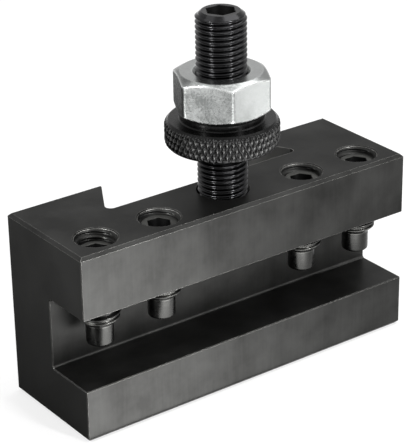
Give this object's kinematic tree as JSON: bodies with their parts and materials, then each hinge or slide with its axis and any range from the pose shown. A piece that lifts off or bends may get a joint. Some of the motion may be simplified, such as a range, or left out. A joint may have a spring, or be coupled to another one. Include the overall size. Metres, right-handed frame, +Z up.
{
  "type": "quick change tool holder",
  "caption": "Blackened steel lathe tool holder: a slotted block with clamping screws over the slot, a rear dovetail, and a threaded stud with a knurled height nut and a hexagon lock nut.",
  "frame": {"origin": "middle of the holder block's flat underside, half way between its ends and half way between its front and back faces", "axes": "+X along the holder block, -Y out of the open side of the tool slot, +Y out of the open side of the dovetail, +Z up along the stud"},
  "size_m": [0.075, 0.0266, 0.0723],
  "materials": {
    "black_oxide_block": "satin black oxide on milled and ground steel",
    "black_oxide_screw": "glossy black oxide, worn bright on the dog point",
    "black_oxide_stud": "glossy black oxide",
    "black_oxide_knurl": "matt black oxide",
    "zinc_plate": "clear zinc plate"
  },
  "bodies": {
    "holder": {"holder_body": "black_oxide_block", "height_stud": "black_oxide_stud"},
    "screw_1": {"set_screw_1": "black_oxide_screw"},
    "screw_2": {"set_screw_2": "black_oxide_screw"},
    "screw_3": {"set_screw_3": "black_oxide_screw"},
    "screw_4": {"set_screw_4": "black_oxide_screw"},
    "height_nut": {"knurled_nut": "black_oxide_knurl"},
    "locking_nut": {"lock_nut": "zinc_plate"}
  },
  "joints": [
    {"name": "screw_1_feed", "type": "slide", "parent": "holder", "child": "screw_1", "axis": [0, 0, 1], "range_m": [-0.005, 0.00875]},
    {"name": "screw_2_feed", "type": "slide", "parent": "holder", "child": "screw_2", "axis": [0, 0, 1], "range_m": [-0.00625, 0.0075]},
    {"name": "screw_3_feed", "type": "slide", "parent": "holder", "child": "screw_3", "axis": [0, 0, 1], "range_m": [-0.00625, 0.0075]},
    {"name": "screw_4_feed", "type": "slide", "parent": "holder", "child": "screw_4", "axis": [0, 0, 1], "range_m": [-0.00625, 0.0075]},
    {"name": "height_nut_feed", "type": "slide", "parent": "holder", "child": "height_nut", "axis": [0, 0, 1], "range_m": [-0.009, 0.005]},
    {"name": "lock_nut_feed", "type": "slide", "parent": "height_nut", "child": "locking_nut", "axis": [0, 0, 1], "range_m": [0, 0.006]}
  ]
}
